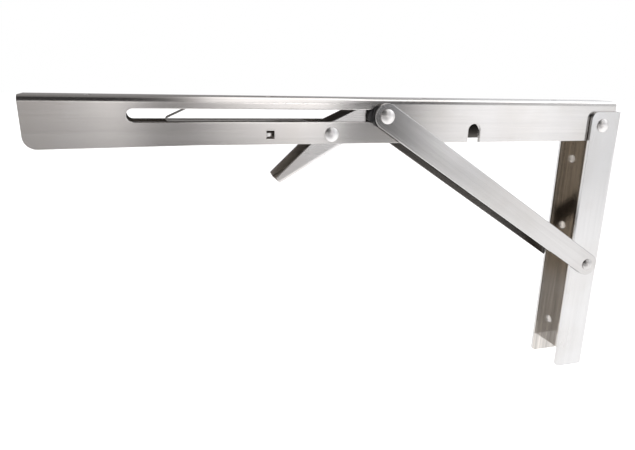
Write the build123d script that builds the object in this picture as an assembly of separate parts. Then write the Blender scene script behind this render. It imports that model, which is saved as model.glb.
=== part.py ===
from build123d import *
import math
import os

# Folding table bracket: a rail under the table top, a channel on the wall, and a pair of
# strut bars whose upper ends slide in the rail's slots and are held there by a sprung lever.
# Millimetres. The wall plane is x = 0 and the rail reaches towards -X. +Z is up, the near
# side is -Y. The origin is midway between the outer two wall screws, on the wall plane.
# The bracket is modelled open, with the rail level.

# Sheet metal
rail_sheet = 2.0            # thickness of the table rail
channel_sheet = 2.0         # thickness of the wall channel
strut_sheet = 2.0           # thickness of a strut bar
lever_sheet = 1.5           # thickness of the release lever
bend_radius = 3.5           # outside radius of the folds in rail and channel
lever_bend_radius = 2.4     # outside radius of the lever's folds
plate_gap = 0.5             # gap between two plates that turn past each other
edge_round = 0.5            # rounding of the slot's and notch's outer edges

# Table rail, a channel that is open below
reach = 400.0               # wall plane to the rail's front end
rail_width = 26.0           # over both cheeks
rail_height = 28.0
rail_rise = 17.0            # wall pivot to the rail's top face
rail_wall_gap = 4.5         # wall plane to the rail's rear end
rail_heel_clearance = 1.0   # heel of the rail to the channel's web as it turns
front_corner_radius = 7.2
front_slant = 1.0           # how far the front end leans back at its foot
front_drop = 1.5            # the cheeks are this much deeper at the front end
front_drop_start = 95.0     # rail's front end to where they start to deepen
slot_width = 7.4
slot_rise = 6.3             # wall pivot to the middle of the slot
slot_rear_play = 1.0        # slot beyond the shoe when open
slot_front_play = 3.6       # slot beyond the shoe when folded
notch_width = 8.6
notch_shift = 1.2           # towards the wall, from where the strut pivot pin comes to rest
notch_headroom = 1.9        # above the strut pivot pin when the bracket is folded
table_hole_radius = 2.6
table_hole_count = 4
table_hole_spacing = 105.0
table_hole_front = 35.0     # rail's front end to the first hole
window_front = 135.0        # rail's front end to the window's left edge
window_length = 5.0
window_height = 5.0
window_drop = 2.6           # wall pivot down to the window's upper edge
tongue_height = 2.2
tongue_radius = 3.4         # inside radius of the tongue that is bent in from the window
tongue_angle = 62.0

# Wall channel, open towards the rail
channel_height = 202.8
channel_depth = 26.5
channel_rise = 9.8          # wall pivot to the channel's top
channel_top_corner = 5.0
channel_foot_corner = 3.0
wall_hole_radius = 3.25
wall_hole_top = 31.0        # wall pivot down to the first screw hole
wall_hole_middle = 87.0     # wall pivot down to the second
wall_hole_foot = 173.0      # wall pivot down to the third

# Pivots
wall_pivot_depth = 16.5     # wall plane to the rail's pivot
strut_pivot_depth = 13.0    # wall plane to the strut's pivot
strut_pivot_drop = 106.0    # rail's pivot down to the strut's pivot
slide_reach = 171.5         # rail's pivot to the slide rivet when open
running_clearance = 0.05    # radial, of every pin in its hole
wall_rivet_radius = 3.0
strut_pin_radius = 2.5      # where it passes through channel and bar
strut_pin_shoulder = 2.8    # between the channel's flanges
slide_rivet_radius = 2.5
lever_rivet_radius = 2.5
head_radius = 4.7           # of the wall pivot's rivet and the slide axle
strut_head_radius = 4.2
head_height = 2.3
lever_head_radius = 4.5
lever_head_height = 2.1
head_rim = 0.5              # straight rim under a head's dome
head_seat = 0.05            # head to the plate under it
washer_seat = 0.05          # thin washer to the plates beside it
washer_radius = 6.2
lever_washer_radius = 4.6
spacer_radius = 4.6         # tube that keeps the rail's cheeks apart
lever_spacer_radius = 3.6   # tube that keeps the lever's cheeks apart
spacer_end_gap = 0.1

# Strut bars
strut_width = 16.6

# Slide shoes, one in each slot
shoe_length = 22.6          # of the block that runs in the slot
shoe_slot_gap = 0.1         # block to the slot's edges, above and below
shoe_collar_radius = 8.7
shoe_collar_height = 12.8   # its flats pass above the lever rivet's heads
shoe_face_gap = 0.15        # collar to the rail's cheek and to the bar

# Release lever, a channel that is open above; its places are from its own pivot
lever_pivot_back = 35.3     # slide rivet to the lever's pivot
lever_pivot_drop = 5.2      # rail's pivot down to the lever's pivot
lever_web_angle = 30.3      # of the web, rising towards the nose
lever_web_offset = 10.4     # pivot to the web's outer face
handle_length = 43.3        # pivot to the tip, along the web
handle_tip_height = 4.4
handle_edge_angle = 42.5    # of the handle's upper edge
handle_edge_drop = 5.4      # from the pivot up to that edge's line
web_end = 12.5              # pivot to the end of the web, along it
nose_foot_offset = 7.2      # pivot to the foot of the nose, which stands on without the web
latch_gap = 0.5             # lever's nose to the shoe that it holds
nose_rise = 16.2            # pivot to the nose's top
nose_flat = 4.4
ramp_angle = 25.0           # of the ramp that the returning shoe pushes down
shoulder_back = 7.5         # pivot to the shoulder's corner over the pivot hole
shoulder_rise = 4.0
heel_back = 3.7             # shoulder's corner to where the handle's edge starts
ramp_foot_radius = 4.0
shoulder_radius = 2.0
heel_radius = 4.0
ramp_top_radius = 1.0
nose_radius = 0.6
tip_radius = 0.8

# Latch spring, bent from one wire
wire_radius = 0.65
wire_flats = 8              # the wire's section has small flats, which keeps the coil light
coil_radius = 4.6           # to the middle of the wire
coil_turns = 4
coil_pitch = 1.6
spring_side = 6.0           # mid-plane to the long leg
leg_rise = 8.4              # lever's pivot to the level part of the long leg
leg_level_start = 18.0      # lever's pivot to where the long leg runs level
leg_length = 103.2          # lever's pivot to the hook in the long leg
leg_return_angle = 25.0     # of the leg's last stretch, back up to the rail's web
hook_radius = 1.0
leg_bend_radius = 2.5
short_leg_dip = 9.5         # angle between the short leg and the handle's web
wire_rest_gap = 0.1

# Places worked out from the sizes above
pivot_height = (wall_hole_top + wall_hole_foot) / 2
wall_pivot = (-wall_pivot_depth, pivot_height)
strut_pivot = (-strut_pivot_depth, pivot_height - strut_pivot_drop)
slide_pivot = (wall_pivot[0] - slide_reach, pivot_height + slot_rise)
lever_pivot = (slide_pivot[0] - lever_pivot_back, pivot_height - lever_pivot_drop)
strut_length = math.dist(strut_pivot, slide_pivot)

rail_front = -reach
rail_rear = -rail_wall_gap
rail_top = pivot_height + rail_rise
rail_foot = rail_top - rail_height
rail_face = rail_width / 2
rail_inside = rail_face - rail_sheet
flange_inside = rail_face + plate_gap
flange_face = flange_inside + channel_sheet
bar_inside = flange_face + plate_gap
bar_face = bar_inside + strut_sheet
lever_face = rail_inside - plate_gap
lever_inside = lever_face - lever_sheet

# With the rail hanging straight down, the slot's line lies slot_rise beyond the rail's pivot
folded_offset = wall_pivot_depth + slot_rise - strut_pivot_depth
slide_reach_folded = strut_pivot_drop + math.sqrt(strut_length ** 2 - folded_offset ** 2)
slide_travel = slide_reach_folded - slide_reach
open_angle = math.degrees(math.atan2(slide_pivot[1] - strut_pivot[1], slide_pivot[0] - strut_pivot[0]))
folded_angle = 180 + math.degrees(math.acos(folded_offset / strut_length))


def across(sketch, low, high):
    """Extrude a sketch of the side view, drawn in x and z, from y = low to y = high."""
    side = Plane(origin=(0, high, 0), x_dir=(1, 0, 0), z_dir=(0, -1, 0))
    return extrude(side * sketch, amount=high - low)


def at(place, sketch):
    return Pos(place[0], place[1]) * sketch


def hole_through(place, radius, half_width):
    return across(at(place, Circle(radius)), -half_width, half_width)


def folded_channel(origin, web_side, run, length, width, depth, sheet, radius):
    """A folded U: its web faces web_side from origin, and it runs along run."""
    outer = Rectangle(width, depth, align=(Align.CENTER, Align.MAX))
    outer = fillet(outer.vertices().group_by(Axis.Y)[-1], radius)
    inner = Pos(0, -sheet) * Rectangle(width - 2 * sheet, depth, align=(Align.CENTER, Align.MAX))
    inner = fillet(inner.vertices().group_by(Axis.Y)[-1], radius - sheet)
    plane = Plane(origin=origin, x_dir=Vector(web_side).cross(Vector(run)), z_dir=run)
    return extrude(plane * (outer - inner), amount=length)


def round_edges(solid, chosen, radius):
    edges = solid.edges().filter_by(chosen)
    return fillet(edges, radius)


def rail_side_outline():
    front_low = (rail_front + front_slant, rail_foot - front_drop)
    outline = Polygon(
        (rail_front, rail_top), front_low, (rail_front + front_drop_start, rail_foot),
        (rail_rear, rail_foot), (rail_rear, rail_top), align=None)
    front_foot = outline.vertices().sort_by_distance(front_low)[0]
    outline = fillet(front_foot, front_corner_radius)
    heel_radius = wall_pivot_depth - channel_sheet - rail_heel_clearance
    heel = Pos(wall_pivot[0], wall_pivot[1]) * Rectangle(
        wall_pivot_depth, rail_height, align=(Align.MIN, Align.MAX))
    return outline - (heel - at(wall_pivot, Circle(heel_radius)))


def slot_shape():
    right = slide_pivot[0] + shoe_length / 2 + slot_rear_play
    left = slide_pivot[0] - slide_travel - shoe_length / 2 - slot_front_play
    return at(((left + right) / 2, slide_pivot[1]), SlotOverall(right - left, slot_width))


def notch_shape():
    """An opening in the rail's lower edge that takes the strut pivot pin when folded."""
    centre_x = wall_pivot[0] - strut_pivot_drop + notch_shift
    pin_height = pivot_height - (wall_pivot_depth - strut_pivot_depth)
    top = pin_height + strut_pin_shoulder + notch_headroom
    crown = at((centre_x, top - notch_width / 2), Circle(notch_width / 2))
    legs = at((centre_x, top - notch_width / 2), Rectangle(
        notch_width, rail_height, align=(Align.CENTER, Align.MAX)))
    return crown + legs


def table_rail():
    rail = folded_channel((rail_front, 0, rail_top), (0, 0, 1), (1, 0, 0), rail_rear - rail_front,
                          rail_width, rail_height + front_drop, rail_sheet, bend_radius)
    rail &= across(rail_side_outline(), -rail_face, rail_face)
    rail -= across(slot_shape(), -rail_width, rail_width)
    rail -= across(notch_shape(), -rail_width, rail_width)
    slot_box = slot_shape().bounding_box()
    notch_box = notch_shape().bounding_box()

    def on_opening(edge):
        middle = edge.center()
        in_slot = slot_box.min.X - 0.1 < middle.X < slot_box.max.X + 0.1 and \
            slot_box.min.Y - 0.1 < middle.Z < slot_box.max.Y + 0.1
        in_notch = notch_box.min.X - 0.1 < middle.X < notch_box.max.X + 0.1 and \
            rail_foot + 0.1 < middle.Z < notch_box.max.Y + 0.1
        return abs(abs(middle.Y) - rail_face) < 0.01 and (in_slot or in_notch)

    rail = round_edges(rail, on_opening, edge_round)
    rail -= hole_through(wall_pivot, wall_rivet_radius + running_clearance, rail_width)
    rail -= hole_through(lever_pivot, lever_rivet_radius + running_clearance, rail_width)
    for place in table_hole_places():
        rail -= Pos(place, 0, rail_top) * Cylinder(table_hole_radius, 4 * rail_sheet)
    return cut_window(rail)


def table_hole_places():
    return [rail_front + table_hole_front + table_hole_spacing * i for i in range(table_hole_count)]


def cut_window(rail):
    """A small window in the near cheek, with a tongue of the sheet bent in from it."""
    left = rail_front + window_front
    top = pivot_height - window_drop
    window = Pos(left, top) * Rectangle(window_length, window_height, align=(Align.MIN, Align.MAX))
    rail -= across(window, -rail_width, 0)
    centre = (left, -rail_face + rail_sheet + tongue_radius)
    ring = Circle(tongue_radius + rail_sheet) - Circle(tongue_radius)
    far = 2 * (tongue_radius + rail_sheet)
    turn = math.radians(tongue_angle)
    wedge = Polygon((0, 0), (0, -far), (far * math.sin(turn), -far),
                    (far * math.sin(turn), -far * math.cos(turn)), align=None)
    tongue = Pos(*centre) * (ring & wedge)
    lift = top - (window_height + tongue_height) / 2
    return rail + Pos(0, 0, lift) * extrude(tongue, amount=tongue_height)


def wall_channel():
    foot = pivot_height + channel_rise - channel_height
    channel = folded_channel((0, 0, foot), (1, 0, 0), (0, 0, 1), channel_height,
                             2 * flange_face, channel_depth, channel_sheet, bend_radius)
    side = Pos(0, foot) * Rectangle(channel_depth, channel_height, align=(Align.MAX, Align.MIN))
    front = side.vertices().group_by(Axis.X)[0].sort_by(Axis.Y)
    side = fillet(front[1], channel_top_corner)
    front = side.vertices().sort_by_distance((-channel_depth, foot))
    side = fillet(front[0], channel_foot_corner)
    channel &= across(side, -flange_face, flange_face)
    channel -= hole_through(wall_pivot, wall_rivet_radius + running_clearance, 2 * flange_face)
    channel -= hole_through(strut_pivot, strut_pin_radius + running_clearance, 2 * flange_face)
    for drop in (wall_hole_top, wall_hole_middle, wall_hole_foot):
        hole = Cylinder(wall_hole_radius, 4 * channel_sheet, rotation=(0, 90, 0))
        channel -= Pos(0, 0, pivot_height - drop) * hole
    return channel


def strut_bar(low, high):
    middle = ((strut_pivot[0] + slide_pivot[0]) / 2, (strut_pivot[1] + slide_pivot[1]) / 2)
    shape = SlotCenterToCenter(strut_length, strut_width, rotation=open_angle)
    bar = across(at(middle, shape), low, high)
    bar -= hole_through(strut_pivot, strut_pin_radius + running_clearance, 2 * bar_face)
    bar -= hole_through(slide_pivot, slide_rivet_radius + running_clearance, 2 * bar_face)
    return bar


def dome_head(place, seat, side, radius, height):
    """A domed rivet head that stands on y = seat and points to the given side."""
    rise = height - head_rim
    ball_radius = (radius ** 2 + rise ** 2) / (2 * rise)
    low, high = sorted((side * seat, side * (seat + height)))
    blank = across(at(place, Circle(radius)), low, high)
    ball_centre = Pos(place[0], side * (seat + height - ball_radius), place[1])
    return blank & ball_centre * Sphere(ball_radius)


def rivet(place, radius, seat, head, height):
    """A rivet right through, with a head on each side that starts at y = seat."""
    shank = hole_through(place, radius, seat)
    return shank + dome_head(place, seat, -1, head, height) + dome_head(place, seat, 1, head, height)


def ring(place, inner, outer, low, high):
    return across(at(place, Circle(outer) - Circle(inner)), low, high)


def wall_pivot_rivet():
    return rivet(wall_pivot, wall_rivet_radius, flange_face + head_seat, head_radius, head_height)


def strut_pivot_pin():
    pin = rivet(strut_pivot, strut_pin_radius, bar_face + head_seat, strut_head_radius, head_height)
    return pin + hole_through(strut_pivot, strut_pin_shoulder, flange_inside - washer_seat)


def lever_rivet():
    return rivet(lever_pivot, lever_rivet_radius, rail_face + head_seat,
                 lever_head_radius, lever_head_height)


def slide_rivet(side):
    """The riveted end of the slide axle: its head and its length in the bar."""
    head = dome_head(slide_pivot, bar_face + head_seat, side, head_radius, head_height)
    low, high = sorted((side * bar_inside, side * (bar_face + head_seat)))
    return head + across(at(slide_pivot, Circle(slide_rivet_radius)), low, high)


def slide_shoe(side):
    """A block that runs in the slot, with a collar between the rail's cheek and the bar."""
    collar_start = rail_face + shoe_face_gap
    block = SlotOverall(shoe_length, slot_width - 2 * shoe_slot_gap)
    collar = Circle(shoe_collar_radius) & Rectangle(2 * shoe_collar_radius, shoe_collar_height)
    bore = Circle(slide_rivet_radius + running_clearance)
    low, high = sorted((side * (rail_inside + shoe_slot_gap), side * collar_start))
    shoe = across(at(slide_pivot, block - bore), low, high)
    low, high = sorted((side * collar_start, side * (bar_inside - shoe_face_gap)))
    return shoe + across(at(slide_pivot, collar - bore), low, high)


def on_web(along, offset):
    """A place beside the lever's pivot, given along its web and away from it."""
    turn = math.radians(lever_web_angle)
    return (along * math.cos(turn) + offset * math.sin(turn),
            along * math.sin(turn) - offset * math.cos(turn))


def lever_side_outline():
    turn = math.radians(lever_web_angle)
    nose = lever_pivot_back - shoe_length / 2 - latch_gap
    nose_foot = (nose, nose * math.tan(turn) - nose_foot_offset / math.cos(turn))
    tip = on_web(-handle_length, lever_web_offset)
    tip_top = on_web(-handle_length, lever_web_offset - handle_tip_height)
    heel_x = -shoulder_back - heel_back
    heel = (heel_x, heel_x * math.tan(math.radians(handle_edge_angle)) + handle_edge_drop)
    shoulder = (-shoulder_back, shoulder_rise)
    ramp_top = (nose - nose_flat, nose_rise)
    ramp_foot = (0, nose_rise - ramp_top[0] * math.tan(math.radians(ramp_angle)))
    outline = Polygon(
        tip, on_web(web_end, lever_web_offset), on_web(web_end, nose_foot_offset), nose_foot,
        (nose, nose_rise), ramp_top, ramp_foot, shoulder, heel, tip_top, align=None)
    for corner, radius in (
            (ramp_foot, ramp_foot_radius), (shoulder, shoulder_radius), (heel, heel_radius),
            (ramp_top, ramp_top_radius), ((nose, nose_rise), nose_radius), (tip_top, tip_radius)):
        outline = fillet(outline.vertices().sort_by_distance(corner)[0], radius)
    return outline


def release_lever():
    turn = math.radians(lever_web_angle)
    along = (math.cos(turn), 0, math.sin(turn))
    down = (math.sin(turn), 0, -math.cos(turn))
    start = -handle_length - handle_tip_height
    origin = (lever_pivot[0] + start * along[0] + lever_web_offset * down[0], 0,
              lever_pivot[1] + start * along[2] + lever_web_offset * down[2])
    lever = folded_channel(origin, down, along, 2 * handle_length + lever_pivot_back,
                           2 * lever_face, 4 * lever_web_offset, lever_sheet, lever_bend_radius)
    lever &= across(at(lever_pivot, lever_side_outline()), -lever_face, lever_face)
    return lever - hole_through(lever_pivot, lever_rivet_radius + running_clearance, rail_width)


def half_turn(px, pz, side, step):
    """Half a turn of the coil, down or up, whose ends run level across the bracket."""
    way = 1 if step % 2 == 0 else -1
    y = side + step * coil_pitch / 2
    bulge = math.hypot(coil_radius, coil_pitch / 4)
    return ThreePointArc(
        (px, y, pz + way * coil_radius), (px + way * bulge, y + coil_pitch / 4, pz),
        (px, y + coil_pitch / 2, pz - way * coil_radius))


def latch_spring():
    """A torsion spring of one wire: a coil round the lever's spacer, a long leg that bears on
    the rail and a short leg that bears on the handle's web."""
    px, pz = lever_pivot
    top = pz + coil_radius
    level = pz + leg_rise
    under_web = rail_top - rail_sheet - wire_radius - wire_rest_gap
    back = (under_web - level) / math.tan(math.radians(leg_return_angle))
    side = -spring_side
    long_leg = FilletPolyline(
        (px - leg_length + back, side, under_web), (px - leg_length, side, level),
        (px - leg_level_start, side, level), (px - coil_radius, side, top), (px, side, top),
        radius=(hook_radius, leg_bend_radius, leg_bend_radius))

    end_side = side + coil_pitch * round(coil_turns)
    turn = math.radians(lever_web_angle + short_leg_dip)
    dip = math.radians(short_leg_dip)
    half = (math.pi - turn) / 2
    leave = (px + coil_radius * math.sin(turn), end_side, pz - coil_radius * math.cos(turn))
    seat = lever_web_offset - lever_sheet - wire_radius - wire_rest_gap
    length = (seat - coil_radius * math.cos(dip)) / math.sin(dip)
    foot = (leave[0] - length * math.cos(turn), end_side, leave[2] - length * math.sin(turn))

    route = [long_leg] + [half_turn(px, pz, side, step) for step in range(2 * round(coil_turns))]
    route.append(ThreePointArc(
        (px, end_side, top),
        (px + coil_radius * math.sin(half), end_side, pz + coil_radius * math.cos(half)), leave))
    route.append(Line(leave, foot))
    path = Wire([edge for stretch in route for edge in stretch.edges()])
    section = Plane(origin=path @ 0, x_dir=(0, 1, 0), z_dir=path % 0)
    return sweep(section * RegularPolygon(wire_radius, round(wire_flats)), path=path)


def write_parts():
    os.makedirs("parts", exist_ok=True)
    parts = {
        "wall_channel": wall_channel(),
        "wall_pivot_rivet": wall_pivot_rivet(),
        "wall_pivot_spacer": ring(wall_pivot, wall_rivet_radius + running_clearance, spacer_radius,
                                  -rail_inside + spacer_end_gap, rail_inside - spacer_end_gap),
        "strut_pivot_pin": strut_pivot_pin(),
        "table_rail": table_rail(),
        "lever_rivet": lever_rivet(),
        "lever_spacer": ring(lever_pivot, lever_rivet_radius + running_clearance, lever_spacer_radius,
                             -lever_inside + spacer_end_gap, lever_inside - spacer_end_gap),
        "release_lever": release_lever(),
        "latch_spring": latch_spring(),
    }
    for name, side in (("near", -1), ("far", 1)):
        low, high = sorted((side * bar_inside, side * bar_face))
        parts[f"strut_bar_{name}"] = strut_bar(low, high)
        parts[f"slide_rivet_{name}"] = slide_rivet(side)
        parts[f"slide_shoe_{name}"] = slide_shoe(side)
        for title, place, bore, outer, seat in (
                ("wall_pivot_washer", wall_pivot, wall_rivet_radius, washer_radius, rail_face),
                ("strut_pivot_washer", strut_pivot, strut_pin_radius, washer_radius, flange_face),
                ("lever_washer", lever_pivot, lever_rivet_radius, lever_washer_radius, lever_face)):
            low, high = sorted((side * (seat + washer_seat), side * (seat + plate_gap - washer_seat)))
            parts[f"{title}_{name}"] = ring(place, bore + running_clearance, outer, low, high)
    for name, solid in parts.items():
        export_step(solid, f"parts/{name}.step")
    print("pivots", wall_pivot, strut_pivot, slide_pivot, lever_pivot)
    print("strut length", round(strut_length, 3), "slide travel", round(slide_travel, 3),
          "strut turn", round(folded_angle - open_angle, 3))


write_parts()
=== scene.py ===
import math
import bmesh
import bpy
from mathutils import Matrix, Vector


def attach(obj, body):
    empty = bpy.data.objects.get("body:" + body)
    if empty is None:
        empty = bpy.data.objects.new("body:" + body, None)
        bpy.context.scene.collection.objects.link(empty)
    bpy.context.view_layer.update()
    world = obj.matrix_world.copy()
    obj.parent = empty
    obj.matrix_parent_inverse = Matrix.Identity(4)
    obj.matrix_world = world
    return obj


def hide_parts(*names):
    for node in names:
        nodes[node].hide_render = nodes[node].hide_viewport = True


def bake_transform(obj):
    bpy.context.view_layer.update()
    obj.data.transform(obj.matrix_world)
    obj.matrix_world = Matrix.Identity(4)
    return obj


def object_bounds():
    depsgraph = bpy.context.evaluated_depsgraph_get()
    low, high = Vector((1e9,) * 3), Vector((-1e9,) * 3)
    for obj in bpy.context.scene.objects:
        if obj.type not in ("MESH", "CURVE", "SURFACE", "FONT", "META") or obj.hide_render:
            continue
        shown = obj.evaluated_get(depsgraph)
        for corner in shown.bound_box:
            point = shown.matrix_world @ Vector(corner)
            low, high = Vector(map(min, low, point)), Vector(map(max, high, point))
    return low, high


# Folding table bracket of brushed stainless steel, in metres. The wall is at x = 0, the rail
# reaches towards -X, the near side is -Y.

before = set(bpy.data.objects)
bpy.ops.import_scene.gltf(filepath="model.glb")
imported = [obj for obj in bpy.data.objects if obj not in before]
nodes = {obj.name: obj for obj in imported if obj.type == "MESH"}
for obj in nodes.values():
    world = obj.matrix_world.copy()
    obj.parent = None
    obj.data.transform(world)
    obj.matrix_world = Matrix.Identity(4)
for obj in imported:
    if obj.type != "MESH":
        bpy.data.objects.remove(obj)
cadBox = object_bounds()
print("frame loaded", len(nodes), "nodes")


# Shader sockets with operators

class Wire:
    def __init__(self, paint, socket):
        self.paint = paint
        self.socket = socket

    def maths(self, operation, other, swapped=False):
        pair = [other, self] if swapped else [self, other]
        return self.paint.add("ShaderNodeMath", {"operation": operation}, {0: pair[0], 1: pair[1]})

    def __add__(self, other):
        return self.maths("ADD", other)

    def __radd__(self, other):
        return self.maths("ADD", other, True)

    def __sub__(self, other):
        return self.maths("SUBTRACT", other)

    def __rsub__(self, other):
        return self.maths("SUBTRACT", other, True)

    def __mul__(self, other):
        return self.maths("MULTIPLY", other)

    def __rmul__(self, other):
        return self.maths("MULTIPLY", other, True)


class Paint:
    def __init__(self, tree):
        self.tree = tree
        self.tree.nodes.clear()

    def add(self, kind, settings=None, values=None, out=0):
        node = self.tree.nodes.new(kind)
        for name, value in (settings or {}).items():
            if name == "stops":
                ramp = node.color_ramp
                while len(ramp.elements) < len(value):
                    ramp.elements.new(1.0)
                for element, (place, colour) in zip(ramp.elements, value):
                    element.position = place
                    element.color = colour
            else:
                setattr(node, name, value)
        for name, value in (values or {}).items():
            if isinstance(value, Wire):
                self.tree.links.new(value.socket, node.inputs[name])
            else:
                node.inputs[name].default_value = value
        return Wire(self, node.outputs[out]) if len(node.outputs) else None

    def parts(self, vector):
        split = self.add("ShaderNodeSeparateXYZ", {}, {"Vector": vector}).socket.node
        return [Wire(self, output) for output in split.outputs]

    def mixColours(self, factor, first, second, blend="MIX"):
        # a Mix node has its two colours at 6 and 7 and the mixed colour at output 2
        return self.add("ShaderNodeMix", {"data_type": "RGBA", "blend_type": blend},
                        {"Factor": factor, 6: first, 7: second}, out=2)


def clampedRange(paint, value, low, high, toLow=0.0, toHigh=1.0):
    return paint.add("ShaderNodeMapRange", {}, {
        "Value": value, "From Min": low, "From Max": high, "To Min": toLow, "To Max": toHigh})


# Metals

brushing = {
    "linesPerMetre": 1900.0,           # changes of the fine lines, across the grain
    "runPerMetre": 16.0,               # and along it
    "fine": {"Scale": 1.0, "Detail": 3.0, "Roughness": 0.6},
    "broadLines": 0.16,                # broad streaks, as shares of the fine lines' two numbers
    "broadRun": 0.5,
    "broad": {"Scale": 1.0, "Detail": 2.0},
    "fineShare": 0.45,                 # the fine lines' part in a streak, the rest is broad
    "streakSpan": (0.32, 0.68),        # noise from darkest to lightest
    "smudge": {"Scale": 22.0, "Detail": 3.0, "Roughness": 0.55},
    "smudgeSpan": (0.45, 0.75),
    "smudgeTint": (1.0, 0.985, 0.965),
    "smudgeRoughness": 0.08,
    "lineDepth": 0.00002,
    "edge": 0.00035,                   # radius of the softened edges, where a metal gives none
    "edgeSamples": 4,
    "innerStreakSpan": (0.4, 0.6),     # noise from darkest to none, on inner faces
    "innerBlur": 0.0002,
}


def grainScale(axis, across, along):
    scale = [across] * 3
    scale["xyz".index(axis)] = along
    return scale


def paintedShadeMask(paint, place, inside):
    # 1 on the faces that look inwards, 0 on the others
    halfWidth, web, blur = inside["halfWidth"], inside["web"], brushing["innerBlur"]
    sideways = paint.add("ShaderNodeMath", {"operation": "ABSOLUTE"}, {0: paint.parts(place)[1]})
    depth = paint.add("ShaderNodeVectorMath", {"operation": "DOT_PRODUCT"},
                      {0: place, 1: inside["towardsWeb"]}, out="Value")
    between = clampedRange(paint, sideways, halfWidth, halfWidth + blur, 1.0, 0.0)
    beforeWeb = clampedRange(paint, depth, web, web + blur, 1.0, 0.0)
    return between * beforeWeb


def paintedInnerShade(paint, place, streak, colour, rough, inside):
    # painted shade: on faces that look inwards the colour is multiplied by a darker tone, with darker
    # streaks in it, changing along an axis to a second tone
    mask = paintedShadeMask(paint, place, inside)
    along = paint.parts(place)["xyz".index(inside["changeAlong"])]
    change = clampedRange(paint, along, *inside["changeSpan"])
    tone = paint.mixColours(change, inside["tone"], inside["endTone"])
    darker = clampedRange(paint, streak, *brushing["innerStreakSpan"], inside["streaks"], 0.0)
    tone = paint.mixColours(darker, tone, (0, 0, 0, 1))
    inner = paint.mixColours(1.0, colour, tone, "MULTIPLY")
    return paint.mixColours(mask, colour, inner), rough * (1 - mask) + mask * inside["roughness"]


def brushedMetal(name, look):
    material = bpy.data.materials.new(name)
    material.use_nodes = True
    paint = Paint(material.node_tree)
    place = paint.add("ShaderNodeTexCoord", out="Object")
    turned = paint.add("ShaderNodeMapping", {}, {
        "Vector": place, "Rotation": (0, look.get("turn", 0.0), 0)})
    across, along = brushing["linesPerMetre"], brushing["runPerMetre"]
    fineScale = grainScale(look["grain"], across, along)
    broadScale = grainScale(look["grain"], across * brushing["broadLines"], along * brushing["broadRun"])
    finePlace = paint.add("ShaderNodeMapping", {}, {"Vector": turned, "Scale": fineScale})
    broadPlace = paint.add("ShaderNodeMapping", {}, {"Vector": turned, "Scale": broadScale})
    fine = paint.add("ShaderNodeTexNoise", {}, {"Vector": finePlace, **brushing["fine"]})
    broad = paint.add("ShaderNodeTexNoise", {}, {"Vector": broadPlace, **brushing["broad"]})
    smudge = paint.add("ShaderNodeTexNoise", {}, {"Vector": place, **brushing["smudge"]})
    streak = fine * brushing["fineShare"] + broad * (1 - brushing["fineShare"])
    light = [c * (1 + look["streaks"]) for c in look["colour"]] + [1.0]
    dark = [c * (1 - look["streaks"]) for c in look["colour"]] + [1.0]
    colour = paint.mixColours(clampedRange(paint, streak, *brushing["streakSpan"]), dark, light)
    stain = [look["smudge"] * c for c in brushing["smudgeTint"]] + [1.0]
    stained = paint.mixColours(1.0, colour, stain, "MULTIPLY")
    colour = paint.mixColours(clampedRange(paint, smudge, *brushing["smudgeSpan"]), colour, stained)
    rough = look["roughness"] + (streak - 0.5) * look["roughSpread"]
    rough = rough + (smudge - 0.5) * brushing["smudgeRoughness"]
    # painted shade on the faces that look inwards
    if "inside" in look:
        colour, rough = paintedInnerShade(paint, place, streak, colour, rough, look["inside"])
    softEdge = paint.add("ShaderNodeBevel", {"samples": brushing["edgeSamples"]}, {
        "Radius": look.get("edge", brushing["edge"])})
    grainNormal = paint.add("ShaderNodeBump", {}, {
        "Strength": look["bump"], "Distance": brushing["lineDepth"], "Height": fine, "Normal": softEdge})
    shader = paint.add("ShaderNodeBsdfPrincipled", {}, {
        "Base Color": colour, "Metallic": 1.0, "Roughness": rough, "Normal": grainNormal,
        "Anisotropic": look["anisotropic"], "Anisotropic Rotation": look["anisotropicTurn"]})
    paint.add("ShaderNodeOutputMaterial", {}, {"Surface": shader})
    return material


strutSpan = (-0.175, 0.1123)           # along X and Z, from its wall pivot to its slide
strutTilt = math.atan2(strutSpan[1], strutSpan[0])

leverPivot = (-0.2233, 0.0968)         # in X and Z
leverAngle = 30.3                      # of its web, in degrees
leverTilt = math.radians(leverAngle)
leverWeb = (math.sin(leverTilt), 0.0, -math.cos(leverTilt))
leverWebDepth = 0.00895                # from its pivot to the inner face of its web

# Painted shade on the faces that look inwards: their colour is multiplied by a darker tone, standing for
# the shade inside the sheet. Such a face is nearer to the middle than halfWidth, and before the web. Its
# tone changes along an axis
# to endTone: darker towards the lever's nose, shaded by the rail, and lighter towards the channel's foot,
# a painted reflection of the floor.
railPaintedShade = {
    "halfWidth": 0.01105, "towardsWeb": (0, 0, 1), "web": 0.11705,
    "tone": (0.26, 0.24, 0.22, 1), "endTone": (0.17, 0.16, 0.15, 1),
    "changeAlong": "x", "changeSpan": (-0.25, -0.15), "streaks": 0.1, "roughness": 0.2}
channelPaintedShade = {
    "halfWidth": 0.01355, "towardsWeb": (1, 0, 0), "web": -0.00195,
    "tone": (0.88, 0.82, 0.74, 1), "endTone": (1.0, 0.97, 0.93, 1),
    "changeAlong": "z", "changeSpan": (-0.015, -0.035), "streaks": 0.3, "roughness": 0.09}
leverPaintedShade = {
    "halfWidth": 0.00905, "towardsWeb": leverWeb,
    "web": leverPivot[0] * leverWeb[0] + leverPivot[1] * leverWeb[2] + leverWebDepth,
    "tone": (0.84, 0.8, 0.74, 1), "endTone": (0.3, 0.28, 0.26, 1),
    "changeAlong": "x", "changeSpan": (-0.233, -0.226), "streaks": 0.2, "roughness": 0.45}
strutPaintedShade = {
    "halfWidth": 0.01605, "towardsWeb": (0, 0, 1), "web": 1.0,   # two flat bars, so no web to reach
    "tone": (0.55, 0.53, 0.5, 1), "endTone": (0.42, 0.4, 0.38, 1),
    "changeAlong": "x", "changeSpan": (-0.2, 0.0), "streaks": 0.4, "roughness": 0.25}

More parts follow.
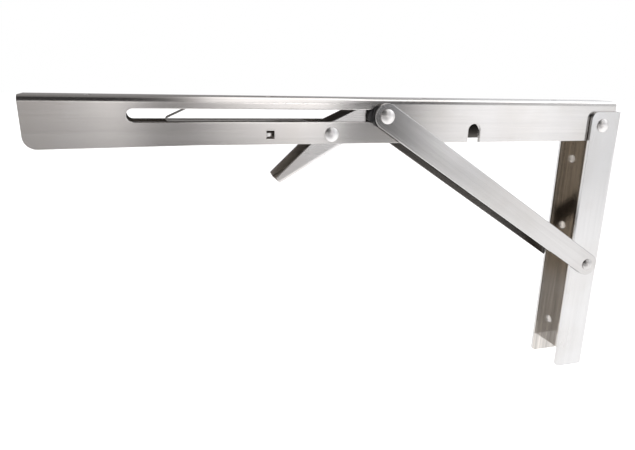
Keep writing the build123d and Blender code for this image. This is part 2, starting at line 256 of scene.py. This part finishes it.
metals = {
    "railSteel": {
        "grain": "x", "colour": (0.655, 0.637, 0.624), "streaks": 0.045, "smudge": 0.93,
        "roughness": 0.19, "roughSpread": 0.05, "bump": 0.2, "edge": 0.0006,
        "anisotropic": 0.8, "anisotropicTurn": 0.25, "inside": railPaintedShade},
    "channelSteel": {
        "grain": "z", "colour": (0.635, 0.63, 0.63), "streaks": 0.04, "smudge": 0.93,
        "roughness": 0.26, "roughSpread": 0.06, "bump": 0.2, "edge": 0.0006,
        "anisotropic": 0.7, "anisotropicTurn": 0.0, "inside": channelPaintedShade},
    "strutSteel": {
        "grain": "x", "turn": strutTilt, "colour": (0.55, 0.54, 0.535), "streaks": 0.06, "smudge": 0.93,
        "roughness": 0.16, "roughSpread": 0.06, "bump": 0.2, "edge": 0.0008,
        "anisotropic": 0.6, "anisotropicTurn": 0.159, "inside": strutPaintedShade},
    "leverSteel": {
        "grain": "x", "colour": (0.69, 0.675, 0.67), "streaks": 0.04, "smudge": 0.92,
        "roughness": 0.28, "roughSpread": 0.1, "bump": 0.15, "edge": 0.0008,
        "anisotropic": 0.3, "anisotropicTurn": 0.0, "inside": leverPaintedShade},
    "rivetSteel": {
        "grain": "z", "colour": (0.8, 0.785, 0.78), "streaks": 0.05, "smudge": 0.92,
        "roughness": 0.36, "roughSpread": 0.12, "bump": 0.15, "anisotropic": 0.0, "anisotropicTurn": 0.0},
    "pinSteel": {
        "grain": "z", "colour": (0.62, 0.61, 0.605), "streaks": 0.05, "smudge": 0.92,
        "roughness": 0.36, "roughSpread": 0.12, "bump": 0.15, "anisotropic": 0.0, "anisotropicTurn": 0.0},
    "washerSteel": {
        "grain": "z", "colour": (0.5, 0.49, 0.48), "streaks": 0.04, "smudge": 0.9,
        "roughness": 0.38, "roughSpread": 0.1, "bump": 0.1, "anisotropic": 0.0, "anisotropicTurn": 0.0},
    "springSteel": {
        "grain": "y", "colour": (0.33, 0.32, 0.31), "streaks": 0.06, "smudge": 0.9,
        "roughness": 0.34, "roughSpread": 0.1, "bump": 0.1, "anisotropic": 0.0, "anisotropicTurn": 0.0},
}
finishes = {name: brushedMetal(name, look) for name, look in metals.items()}

# The slide shoe and the axle's collars are real spacers, but their near-black is painted shade: it stands
# for the dark shadow in the slot around the strut bar's end.
shoeShadeLook = {
    "colour": (0.03, 0.03, 0.032, 1.0), "worn": (0.07, 0.07, 0.07, 1.0), "wornSpan": (0.5, 0.75),
    "patch": {"Scale": 160.0, "Detail": 2.0}, "grit": {"Scale": 1600.0, "Detail": 3.0},
    "roughness": 0.5, "roughSpread": 0.3, "bump": 0.2, "gritDepth": 0.00004, "edge": 0.0003}


def mouldedPlastic(name, look):
    material = bpy.data.materials.new(name)
    material.use_nodes = True
    paint = Paint(material.node_tree)
    place = paint.add("ShaderNodeTexCoord", out="Object")
    grit = paint.add("ShaderNodeTexNoise", {}, {"Vector": place, **look["grit"]})
    patch = paint.add("ShaderNodeTexNoise", {}, {"Vector": place, **look["patch"]})
    colour = paint.mixColours(clampedRange(paint, patch, *look["wornSpan"]), look["colour"], look["worn"])
    rough = look["roughness"] + (patch - 0.5) * look["roughSpread"]
    softEdge = paint.add("ShaderNodeBevel", {"samples": brushing["edgeSamples"]}, {
        "Radius": look["edge"]})
    normal = paint.add("ShaderNodeBump", {}, {
        "Strength": look["bump"], "Distance": look["gritDepth"], "Height": grit, "Normal": softEdge})
    shader = paint.add("ShaderNodeBsdfPrincipled", {}, {
        "Base Color": colour, "Roughness": rough, "Normal": normal})
    paint.add("ShaderNodeOutputMaterial", {}, {"Surface": shader})
    return material


finishes["shoePlasticAndShade"] = mouldedPlastic("shoePlasticAndShade", shoeShadeLook)

# by how a node's name starts; the washers and spacer tubes take what is left
finishOfNode = {
    "table_rail": "railSteel", "wall_channel": "channelSteel", "release_lever": "leverSteel",
    "strut_bar": "strutSteel", "slide_shoe": "shoePlasticAndShade", "latch_spring": "springSteel",
    "wall_pivot_rivet": "rivetSteel", "strut_pivot_pin": "pinSteel", "lever_rivet": "rivetSteel",
    "slide_rivet": "rivetSteel",
}
for name, piece in nodes.items():
    chosen = next((f for start, f in finishOfNode.items() if name.startswith(start)), "washerSteel")
    piece.data.materials.clear()
    piece.data.materials.append(finishes[chosen])
print("metals and plastic on the CAD pieces")


# Pieces made here: the middle of the slide axle with its collars, and the spring's wire

def newPiece(name, mesh, finish):
    piece = bpy.data.objects.new(name, mesh)
    bpy.context.scene.collection.objects.link(piece)
    mesh.materials.clear()
    mesh.materials.append(finishes[finish])
    return piece


def smoothFaces(mesh, sharpFrom):
    mesh.polygons.foreach_set("use_smooth", [True] * len(mesh.polygons))
    mesh.set_sharp_from_angle(angle=math.radians(sharpFrom))


slideAxle = {
    "radius": 0.0025, "halfLength": 0.0110,
    "hair": 0.00001,                   # added to its width, so that its two halves share no point
    "collarLength": 0.0226, "collarHeight": 0.0072, "collarInside": 0.0084, "collarOutside": 0.01085,
    "edge": 0.0003, "sharpFrom": 35, "roundSteps": 16,
    "place": (-0.188, 0.1083),         # in X and Z
}


def stadiumMesh(name, length, height, low, high):
    # an oblong with round ends in the x-z plane, from y = low to y = high, with a small chamfer
    edge, steps = slideAxle["edge"], slideAxle["roundSteps"]
    middleX, middleZ = slideAxle["place"]
    radius = height / 2
    half = length / 2 - radius
    outline = []
    for side in (1, -1):
        for step in range(steps + 1):
            turn = math.radians(-90 + step * 180 / steps)
            outline.append((side * (half + radius * math.cos(turn)), side * radius * math.sin(turn)))
    body = bmesh.new()
    rings = []
    for y, inset in ((low, edge), (low + edge, 0.0), (high - edge, 0.0), (high, edge)):
        keep = 1 - inset / radius
        rings.append([body.verts.new((middleX + x - math.copysign(inset, x), y, middleZ + z * keep))
                      for x, z in outline])
    for first, second in zip(rings, rings[1:]):
        for here in range(len(outline)):
            following = (here + 1) % len(outline)
            body.faces.new((first[here], first[following], second[following], second[here]))
    body.faces.new(rings[0][::-1])
    body.faces.new(rings[-1])
    bmesh.ops.recalc_face_normals(body, faces=body.faces)
    mesh = bpy.data.meshes.new(name)
    body.to_mesh(mesh)
    body.free()
    smoothFaces(mesh, slideAxle["sharpFrom"])
    return mesh


def buildSlideAxle():
    axle = slideAxle
    thickness, halfLength = 2 * axle["radius"], axle["halfLength"]
    shaft = stadiumMesh("slideAxleMiddle", thickness + axle["hair"], thickness, -halfLength, halfLength)
    pieces = [newPiece("slideAxleMiddle", shaft, "rivetSteel")]
    # the collars' near-black is also painted shade around the bar's end
    for side, name in ((-1, "slideCollarNear"), (1, "slideCollarFar")):
        low, high = sorted((side * axle["collarInside"], side * axle["collarOutside"]))
        collar = stadiumMesh(name, axle["collarLength"], axle["collarHeight"], low, high)
        pieces.append(newPiece(name, collar, "shoePlasticAndShade"))
    for piece in pieces:
        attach(piece, "carriage")


latchWire = {
    "pivot": leverPivot, "radius": 0.00065,
    "side": -0.006,                    # where the coil starts, along Y
    "coilRadius": 0.0046, "pitch": 0.0016, "turns": 4, "coilSteps": 130,
    "rise": 0.0084,                    # of the long leg over the pivot, where it runs level
    "levelStart": 0.018, "reach": 0.1032,
    "webUnderside": 0.117,             # the rail's, where the long leg's end lies
    "restGap": 0.0001, "endAngle": 25.0,
    "bends": (0.001, 0.0025, 0.0025), "bendSteps": 6,
    "shortLegDip": 9.5,                # from the line of the lever's web
    "webAngle": leverAngle, "webSeat": 0.00815,
    "roundness": 5, "sharpFrom": 50,
}


def roundedCorners(points, radii, steps):
    # the same path with each inner corner turned into an arc
    path = [Vector(points[0])]
    for before, corner, after, radius in zip(points, points[1:], points[2:], radii):
        before, corner, after = Vector(before), Vector(corner), Vector(after)
        towards, away = (before - corner).normalized(), (after - corner).normalized()
        half = towards.angle(away) / 2
        cut = min(radius / math.tan(half), (before - corner).length / 2, (after - corner).length / 2)
        centre = corner + (towards + away).normalized() * cut / math.cos(half)
        start, end = corner + towards * cut - centre, corner + away * cut - centre
        for step in range(steps + 1):
            path.append(centre + start.slerp(end, step / steps).normalized() * start.length)
    path.append(Vector(points[-1]))
    return path


def latchWirePath():
    wire = latchWire
    px, pz = wire["pivot"]
    side, coilRadius, fullTurns = wire["side"], wire["coilRadius"], 2 * math.pi * wire["turns"]
    top, level, front = pz + coilRadius, pz + wire["rise"], px - wire["reach"]
    underWeb = wire["webUnderside"] - wire["radius"] - wire["restGap"]
    back = (underWeb - level) / math.tan(math.radians(wire["endAngle"]))
    # the long leg, from its end under the rail's web to the top of the coil
    longLeg = [
        (front + back, side, underWeb), (front, side, level), (px - wire["levelStart"], side, level),
        (px - coilRadius, side, top), (px, side, top)]
    path = roundedCorners(longLeg, wire["bends"], wire["bendSteps"])
    # the coil, which winds towards the far side, and the short leg to its seat on the lever's web
    turn = math.radians(wire["webAngle"] + wire["shortLegDip"])
    dip = math.radians(wire["shortLegDip"])
    sweep = fullTurns + math.pi - turn
    for step in range(1, wire["coilSteps"] + 1):
        angle = sweep * step / wire["coilSteps"]
        climb = min(angle, fullTurns) / (2 * math.pi) * wire["pitch"]
        path.append(Vector((
            px + coilRadius * math.sin(angle), side + climb, pz + coilRadius * math.cos(angle))))
    shortLeg = (wire["webSeat"] - coilRadius * math.cos(dip)) / math.sin(dip)
    path.append(path[-1] - shortLeg * Vector((math.cos(turn), 0, math.sin(turn))))
    return path


def buildLatchSpring():
    curve = bpy.data.curves.new("latchWireRoute", "CURVE")
    curve.dimensions = "3D"
    curve.bevel_depth = latchWire["radius"]
    curve.bevel_resolution = latchWire["roundness"]
    curve.use_fill_caps = True
    route = latchWirePath()
    spline = curve.splines.new("POLY")
    spline.points.add(len(route) - 1)
    for point, place in zip(spline.points, route):
        point.co = (*place, 1)
    holder = bpy.data.objects.new("latchWireRoute", curve)
    bpy.context.scene.collection.objects.link(holder)
    bpy.context.view_layer.update()
    seen = holder.evaluated_get(bpy.context.evaluated_depsgraph_get())
    mesh = bpy.data.meshes.new_from_object(seen)
    bpy.data.objects.remove(holder)
    smoothFaces(mesh, latchWire["sharpFrom"])
    spring = newPiece("latchSpringWire", mesh, "springSteel")
    # the coil takes up the lever's turn, from just inside its one end to just inside the other
    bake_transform(spring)
    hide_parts("latch_spring")


buildSlideAxle()
buildLatchSpring()
print("slide axle and latch spring built")


# Floor, light and camera

studio = {
    "floorDrop": 0.195,                # from the channel's foot, so that the folded rail clears it
    "floorColour": (0.8, 0.8, 0.8, 1.0),
    "floorRoughness": 0.9, "floorGloss": 0.2,
    "floorReach": ((-8.0, 8.0), (-2.2, 8.0)),   # along X and along Y
    "glow": 0.84,                      # light that the sheet gives behind and beside the bracket
    "glowEdge": (-0.66, -0.24),        # where it starts and where it is full, along Y
    "glowRight": (-0.05, 0.45, 0.0, 1.25),      # two places along X, and how far forward it comes at each
}


def buildFloor():
    material = bpy.data.materials.new("paleFloor")
    material.use_nodes = True
    paint = Paint(material.node_tree)
    x, y = paint.parts(paint.add("ShaderNodeTexCoord", out="Object"))[:2]
    reach = y + clampedRange(paint, x, *studio["glowRight"])
    glow = clampedRange(paint, reach, *studio["glowEdge"], 0.0, studio["glow"])
    glowColour = paint.mixColours(glow, (0, 0, 0, 1), (1, 1, 1, 1))
    shader = paint.add("ShaderNodeBsdfPrincipled", {}, {
        "Base Color": studio["floorColour"], "Roughness": studio["floorRoughness"],
        "Specular IOR Level": studio["floorGloss"],
        "Emission Color": glowColour, "Emission Strength": 1.0})
    paint.add("ShaderNodeOutputMaterial", {}, {"Surface": shader})
    (left, right), (front, back) = studio["floorReach"]
    level = cadBox[0][2] - studio["floorDrop"]
    corners = [(left, front, level), (right, front, level), (right, back, level), (left, back, level)]
    mesh = bpy.data.meshes.new("paleFloor")
    mesh.from_pydata(corners, [], [(0, 1, 2, 3)])
    mesh.materials.append(material)
    floor = bpy.data.objects.new("paleFloor", mesh)
    bpy.context.scene.collection.objects.link(floor)


softBoxes = {
    "aim": (-0.1, 0, 0.05),
    "boxes": {
        "frontRight": {"place": (0.95, -0.75, 0.35), "size": (0.9, 1.0), "power": 0.8},
        "highRight": {"place": (0.6, 0.1, 1.1), "size": (0.9, 0.9), "power": 4.0},
    },
}


def buildLamps():
    for name, box in softBoxes["boxes"].items():
        light = bpy.data.lights.new(name, "AREA")
        light.shape = "RECTANGLE"
        light.size, light.size_y = box["size"]
        light.energy = box["power"]
        lamp = bpy.data.objects.new(name, light)
        lamp.location = box["place"]
        away = Vector(box["place"]) - Vector(softBoxes["aim"])
        lamp.rotation_euler = away.to_track_quat("Z", "Y").to_euler()
        bpy.context.scene.collection.objects.link(lamp)


# The room that the steel reflects, with light panels and dark gaps between them. Each pair is a
# direction, from far left (-1) to far right (1), and the brightness there.
room = {
    "front": [(-1.0, 0.25), (-0.19, 0.33), (-0.09, 0.5), (-0.03, 0.85), (0.02, 0.23), (0.08, 0.17),
              (0.13, 0.55), (0.22, 0.92), (0.3, 1.25), (0.315, 1.33), (0.34, 0.03), (0.435, 0.05),
              (0.495, 1.4), (0.56, 1.65), (0.62, 1.25), (0.68, 0.85), (1.0, 0.8)],
    "overhead": [(-1.0, 0.08), (0.08, 0.03), (0.12, 1.6), (0.325, 1.6), (0.37, 0.12), (0.47, 0.12),
                 (0.54, 0.6), (0.7, 0.7), (0.8, 1.6), (1.0, 1.6)],
    "behind": [(-1.0, 0.33), (0.05, 0.28), (0.32, 0.33), (0.47, 0.55), (0.6, 0.85), (0.7, 0.9),
               (0.8, 1.3), (1.0, 1.3)],
    "brightest": 2.0,                  # what a ramp's white stands for
    "levelBand": (0.14, 0.18),         # height where the front gives way to the ceiling
    "backBand": (0.45, 0.75),          # and where the back does
    "backLift": 0.25,                  # light from the ceiling's far half
    "gap": (0.18, 0.4, 0.1),           # a darker stretch over the band: from, to, how dark
    "rise": 12.5,                      # how fast the front brightens upwards, about riseMiddle
    "riseMiddle": -0.0925,
    "riseLimits": (-0.2, 0.14),
    "riseEnds": (0.42, 0.5),           # to the right of this the front is even
    "turn": (-0.12, 0.12),             # where the front gives way to the back
    "tintSpan": (0.1, 0.55),
    "warmSide": (1.0, 0.972, 0.962, 1),
    "coolSide": (0.985, 0.995, 1.02, 1),
}


def toneAcross(paint, x, tones):
    # the ramp is grey, so its colour is read as one number
    stops = [((place + 1) / 2, (tone / room["brightest"],) * 3 + (1,)) for place, tone in tones]
    return paint.add("ShaderNodeValToRGB", {"stops": stops}, {"Fac": x * 0.5 + 0.5}) * room["brightest"]


def buildRoom():
    world = bpy.data.worlds.new("studioRoom")
    bpy.context.scene.world = world
    world.use_nodes = True
    paint = Paint(world.node_tree)
    x, y, z = paint.parts(paint.add("ShaderNodeTexCoord", out="Generated"))
    height = clampedRange(paint, z, *room["riseLimits"], *room["riseLimits"])
    uneven = clampedRange(paint, x, *room["riseEnds"], 1.0, 0.0)
    slope = 1 + (height - room["riseMiddle"]) * room["rise"] * uneven
    front = toneAcross(paint, x, room["front"]) * slope
    behind = toneAcross(paint, x, room["behind"])
    gapFrom, gapTo, gapTone = room["gap"]
    gap = clampedRange(paint, z, gapFrom, gapTo, gapTone, 1.0)
    towardsBack = clampedRange(paint, y, *room["turn"])
    level = front * (1 - towardsBack) + behind * towardsBack
    overhead = toneAcross(paint, x, room["overhead"]) * gap + towardsBack * room["backLift"]
    frontHigh = clampedRange(paint, z, *room["levelBand"])
    backHigh = clampedRange(paint, z, *room["backBand"])
    high = frontHigh * (1 - towardsBack) + backHigh * towardsBack
    strength = level * (1 - high) + overhead * high
    tint = paint.mixColours(clampedRange(paint, x, *room["tintSpan"]), room["warmSide"], room["coolSide"])
    glow = paint.add("ShaderNodeBackground", {}, {"Color": tint, "Strength": strength})
    backdrop = paint.add("ShaderNodeBackground", {}, {"Color": (1, 1, 1, 1), "Strength": 1.0})
    seen = paint.add("ShaderNodeLightPath", out="Is Camera Ray")
    # seen itself the room is plain white, and the steel reflects its panels
    shown = paint.add("ShaderNodeMixShader", {}, {0: seen, 1: glow, 2: backdrop})
    paint.add("ShaderNodeOutputWorld", {}, {"Surface": shown})


photoView = {
    "place": (-0.33932, -0.35424, 0.13659), "yaw": 0.3075, "pitch": -0.2677, "roll": 0.0281,
    "focal": 570.93, "width": 635,     # both in pixels
    "sensor": 36.0, "clipStart": 0.01,
}


def buildCamera():
    shot = photoView
    yaw, pitch, roll = shot["yaw"], shot["pitch"], shot["roll"]
    forward = Vector((math.sin(yaw) * math.cos(pitch), math.cos(yaw) * math.cos(pitch), math.sin(pitch)))
    right = Vector((math.cos(yaw), -math.sin(yaw), 0))
    up = right.cross(forward)
    tiltedRight = right * math.cos(roll) + up * math.sin(roll)
    tiltedUp = up * math.cos(roll) - right * math.sin(roll)
    data = bpy.data.cameras.new("photoCamera")
    data.sensor_fit = "HORIZONTAL"
    data.sensor_width = shot["sensor"]
    data.lens = shot["sensor"] * shot["focal"] / shot["width"]
    data.clip_start = shot["clipStart"]
    camera = bpy.data.objects.new("photoCamera", data)
    turn = Matrix((tiltedRight, tiltedUp, -forward)).transposed()
    camera.matrix_world = Matrix.Translation(shot["place"]) @ turn.to_4x4()
    bpy.context.scene.collection.objects.link(camera)
    bpy.context.scene.camera = camera


bpy.context.scene.view_settings.view_transform = "Standard"
buildFloor()
buildLamps()
buildRoom()
buildCamera()
print("floor, lights and camera set")
